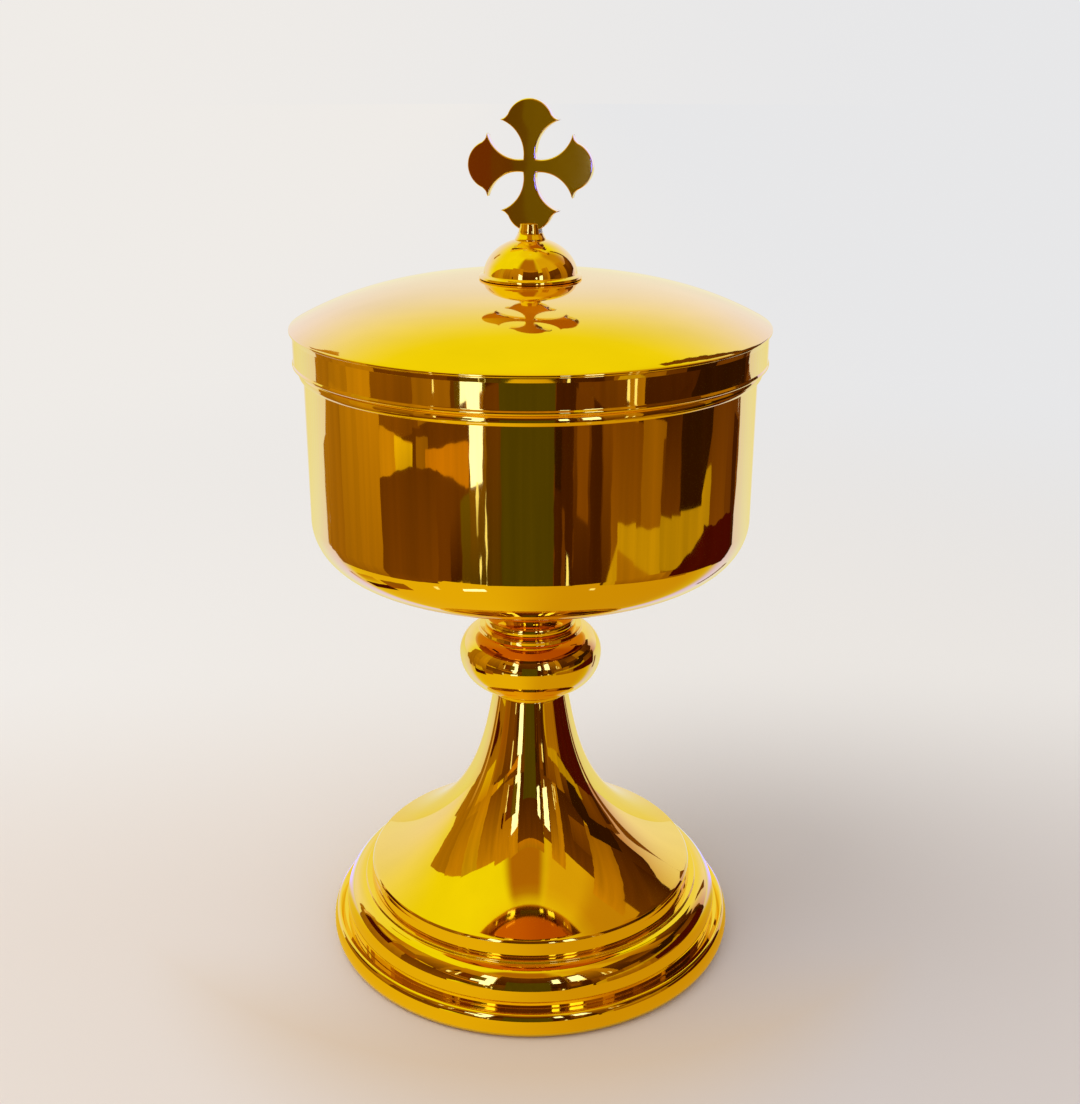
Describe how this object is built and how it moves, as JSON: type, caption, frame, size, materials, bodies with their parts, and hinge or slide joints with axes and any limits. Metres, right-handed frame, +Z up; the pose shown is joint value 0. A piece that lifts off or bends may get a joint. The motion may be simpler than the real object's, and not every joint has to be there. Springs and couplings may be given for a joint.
{
  "type": "ciborium",
  "caption": "Covered cup on a knopped stem and a round moulded foot, with a shallow domed lid that lifts off, topped by a half ball and a flat cross with barbed, rounded ends.",
  "frame": {"origin": "middle of the ring that the foot stands on, on the surface below it", "axes": "+Z up along the vessel's axis; the cross lies in the XZ plane and is seen face on along +Y"},
  "size_m": [0.1312, 0.1312, 0.2483],
  "materials": {
    "gilt": "gilt, polished to a mirror",
    "gilt_satin": "gilt, satin",
    "steel": "zinc plated"
  },
  "bodies": {
    "vessel": {"foot_ring": "gilt", "foot_moulding": "gilt", "foot_trumpet": "gilt", "knop": "gilt", "neck_collar": "gilt", "cup_bowl": "gilt", "cup_rim_bead": "gilt", "cup_boss": "gilt_satin", "tie_rod": "steel", "clamp_plate": "gilt_satin", "rod_spring_washer": "steel", "rod_nut": "steel"},
    "lid": {"lid_band": "gilt", "lid_dome": "gilt", "lid_collar": "gilt_satin", "finial_ball": "gilt", "finial_ferrule": "gilt", "finial_cross": "gilt", "finial_stud": "steel", "finial_washer": "steel", "finial_nut": "steel"}
  },
  "joints": [
    {"name": "lid_lift", "type": "slide", "parent": "vessel", "child": "lid", "axis": [0, 0, 1], "range_m": [0, 0.08]}
  ]
}
